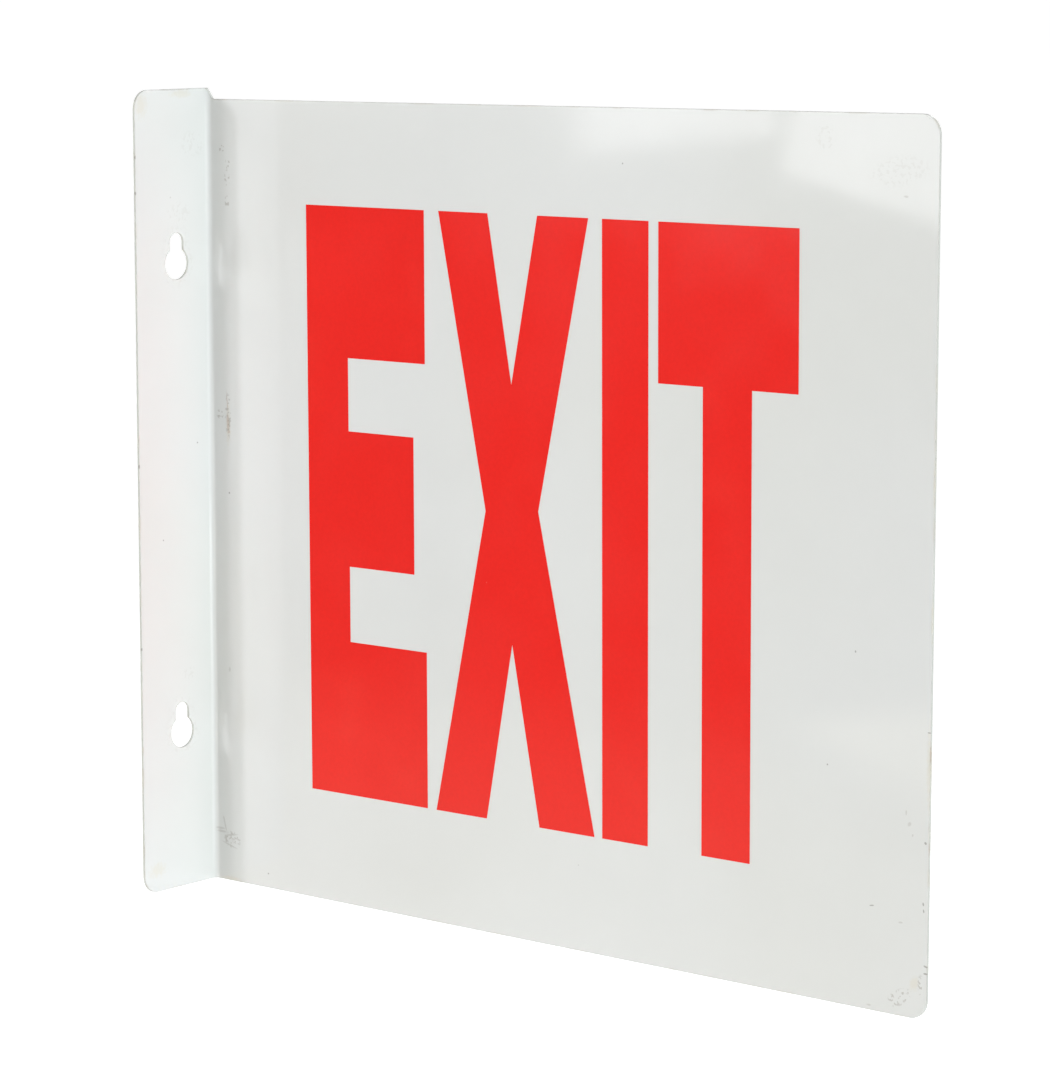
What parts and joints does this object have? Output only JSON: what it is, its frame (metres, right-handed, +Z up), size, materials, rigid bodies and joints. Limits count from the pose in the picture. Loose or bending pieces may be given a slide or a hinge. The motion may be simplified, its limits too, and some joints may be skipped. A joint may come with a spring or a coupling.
{
  "type": "projecting exit sign",
  "caption": "Projecting exit sign in folded painted sheet metal, with a keyholed wall flange and tall red printed letters.",
  "frame": {"origin": "on the wall side of the flange, midway between the two screw seats of the keyholes", "axes": "+X out of the wall along the panel, +Y to the panel's back, +Z up; the lettered face looks to -Y"},
  "size_m": [0.3048, 0.0368, 0.2807],
  "materials": {
    "white_enamel": "gloss white enamel on sheet metal",
    "red_print": "semi-gloss red screen print"
  },
  "bodies": {
    "root": {"folded_sheet": "white_enamel", "letter_e": "red_print", "letter_x": "red_print", "letter_i": "red_print", "letter_t": "red_print"}
  },
  "joints": []
}
